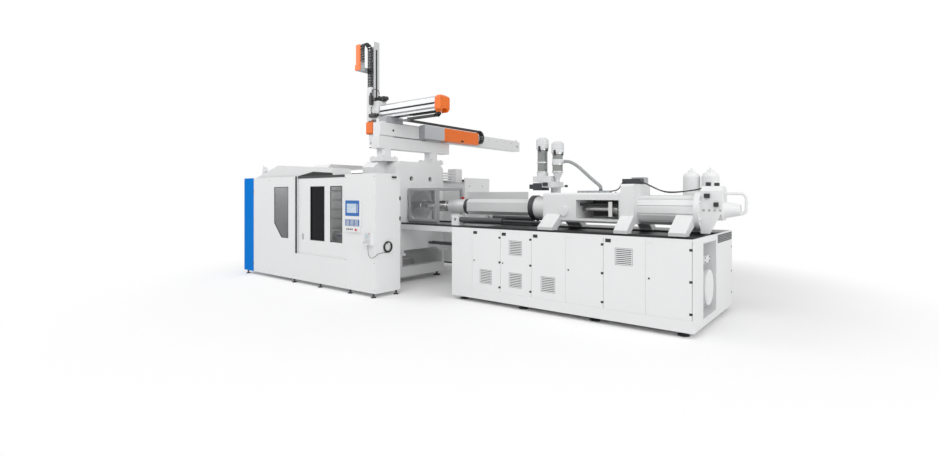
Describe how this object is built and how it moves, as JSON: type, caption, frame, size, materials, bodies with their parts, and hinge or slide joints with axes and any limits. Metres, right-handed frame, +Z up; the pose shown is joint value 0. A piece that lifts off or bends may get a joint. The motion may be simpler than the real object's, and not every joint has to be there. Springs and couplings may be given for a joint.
{
  "type": "injection moulding machine",
  "caption": "Two-platen injection moulding machine with a guarded clamp, a linear take-out robot above it and an open injection unit on a cabinet base.",
  "frame": {"origin": "on the floor, under the middle of the box around the machine without its cable", "axes": "+X towards the injection end along the machine's axis, operator's side on -Y, +Z up"},
  "size_m": [9.941, 6.172, 5.06],
  "materials": {
    "white_paint": "satin",
    "pale_paint": "satin",
    "blue_paint": "satin",
    "grey_paint": "satin",
    "dark_steel": "satin",
    "bright_steel": "ground",
    "aluminium": "anodised",
    "orange_cover": "matt",
    "black_plastic": "matt",
    "black_metal": "satin",
    "white_plastic": "gloss",
    "pane": "clear",
    "red_plastic": "gloss",
    "cable": "matt",
    "hose": "matt"
  },
  "bodies": {
    "machine": {"injection_base": "white_paint", "fixed_platen": "white_paint", "robot_frame": "white_paint", "roof_cover": "white_paint", "control_panel": "white_paint", "clamp_bed": "pale_paint", "front_guard_left": "pale_paint", "front_guard_sill": "pale_paint", "control_column": "pale_paint", "rear_guard": "pale_paint", "rear_guard_end": "pale_paint", "end_panel": "blue_paint", "nozzle_guard": "grey_paint", "pendant_holder": "grey_paint", "levelling_feet": "dark_steel", "guide_rails": "dark_steel", "drive_cylinders": "dark_steel", "pump_set": "dark_steel", "tie_bars": "bright_steel", "chain_cover": "orange_cover", "pendant": "white_plastic", "guard_pane": "pane", "pendant_cable": "cable", "pendant_cable_coil": "cable"},
    "front_gate": {"front_gate": "pale_paint", "gate_panes": "pane"},
    "rear_gate": {"rear_gate": "pale_paint"},
    "moving_platen": {"moving_platen": "white_paint", "tie_bar_locks": "pale_paint"},
    "ejector": {"ejector": "bright_steel"},
    "emergency_stop": {"emergency_stop": "red_plastic"},
    "nozzle_door": {"nozzle_guard_door": "grey_paint", "nozzle_guard_pane": "pane"},
    "traverse": {"traverse_carriage": "pale_paint"},
    "traverse_loop": {"traverse_chain": "black_plastic"},
    "kick": {"kick_beam": "aluminium", "kick_end_cap": "orange_cover", "arm_carriage": "white_paint", "servo_motors": "dark_steel"},
    "kick_loop": {"kick_chain": "black_plastic"},
    "arm": {"robot_arm": "aluminium", "arm_covers": "orange_cover"},
    "arm_loop": {"arm_chain": "black_plastic"},
    "wrist": {"wrist": "black_metal"},
    "cabinet_door_1": {"cabinet_door_1": "white_paint"},
    "cabinet_door_2": {"cabinet_door_2": "white_paint"},
    "cabinet_door_3": {"cabinet_door_3": "white_paint"},
    "cabinet_door_4": {"cabinet_door_4": "white_paint"},
    "injection_unit": {"feed_housing": "white_paint", "barrel": "bright_steel", "barrel_guard": "pale_paint", "carriage_fittings": "dark_steel", "injection_frame": "white_paint", "injection_cylinder": "white_paint", "hydraulic_unit": "white_paint", "loaders": "white_plastic", "loader_glass": "pane", "material_hose": "hose"},
    "piston": {"piston_coupling": "bright_steel"},
    "screw": {"screw": "bright_steel"}
  },
  "joints": [
    {"name": "front_gate_slide", "type": "slide", "parent": "machine", "child": "front_gate", "axis": [1, 0, 0], "range_m": [-1.45, 0]},
    {"name": "rear_gate_slide", "type": "slide", "parent": "machine", "child": "rear_gate", "axis": [1, 0, 0], "range_m": [-1.45, 0]},
    {"name": "platen_slide", "type": "slide", "parent": "machine", "child": "moving_platen", "axis": [1, 0, 0], "range_m": [0, 0.9]},
    {"name": "ejector_slide", "type": "slide", "parent": "moving_platen", "child": "ejector", "axis": [1, 0, 0], "range_m": [0, 0.2]},
    {"name": "emergency_stop_press", "type": "slide", "parent": "machine", "child": "emergency_stop", "axis": [0, 1, 0], "range_m": [0, 0.006], "stiffness_N_per_m": 1500},
    {"name": "nozzle_door_hinge", "type": "hinge", "parent": "machine", "child": "nozzle_door", "pos_m": [-1.1305, -1.52375, 1.5], "axis": [0, 0, 1], "range_deg": [-88, 0]},
    {"name": "traverse_slide", "type": "slide", "parent": "machine", "child": "traverse", "axis": [0, 1, 0], "range_m": [0, 3]},
    {"name": "traverse_loop_slide", "type": "slide", "parent": "traverse", "child": "traverse_loop", "axis": [0, 1, 0], "range_m": [-1.5, 0]},
    {"name": "kick_slide", "type": "slide", "parent": "traverse", "child": "kick", "axis": [1, 0, 0], "range_m": [-0.9, 0]},
    {"name": "kick_loop_slide", "type": "slide", "parent": "traverse", "child": "kick_loop", "axis": [1, 0, 0], "range_m": [-0.45, 0]},
    {"name": "arm_slide", "type": "slide", "parent": "kick", "child": "arm", "axis": [0, 0, 1], "range_m": [-1.2, 0]},
    {"name": "arm_loop_slide", "type": "slide", "parent": "arm", "child": "arm_loop", "axis": [0, 0, 1], "range_m": [0, 0.6]},
    {"name": "wrist_turn", "type": "hinge", "parent": "arm", "child": "wrist", "pos_m": [-2.0805, -1.624, 2.9], "axis": [0, 1, 0], "range_deg": [0, 90]},
    {"name": "injection_slide", "type": "slide", "parent": "machine", "child": "injection_unit", "axis": [1, 0, 0], "range_m": [0, 0.19]},
    {"name": "injection_stroke", "type": "slide", "parent": "injection_unit", "child": "piston", "axis": [1, 0, 0], "range_m": [-0.35, 0]},
    {"name": "screw_turn", "type": "hinge", "parent": "piston", "child": "screw", "pos_m": [-0.3905, -1.124, 1.56], "axis": [1, 0, 0], "continuous": true},
    {"name": "cabinet_door_1_hinge", "type": "hinge", "parent": "machine", "child": "cabinet_door_1", "pos_m": [1.6445, -2.189, 0.7], "axis": [0, 0, 1], "range_deg": [0, 100]},
    {"name": "cabinet_door_2_hinge", "type": "hinge", "parent": "machine", "child": "cabinet_door_2", "pos_m": [2.2215, -2.189, 0.7], "axis": [0, 0, 1], "range_deg": [0, 100]},
    {"name": "cabinet_door_3_hinge", "type": "hinge", "parent": "machine", "child": "cabinet_door_3", "pos_m": [3.3755, -2.189, 0.7], "axis": [0, 0, 1], "range_deg": [0, 100]},
    {"name": "cabinet_door_4_hinge", "type": "hinge", "parent": "machine", "child": "cabinet_door_4", "pos_m": [4.5295, -2.189, 0.7], "axis": [0, 0, 1], "range_deg": [0, 100]}
  ],
  "couplings": [
    {"joint": "traverse_loop_slide", "follows": "traverse_slide", "ratio": -0.5},
    {"joint": "kick_loop_slide", "follows": "kick_slide", "ratio": 0.5},
    {"joint": "arm_loop_slide", "follows": "arm_slide", "ratio": -0.5}
  ]
}
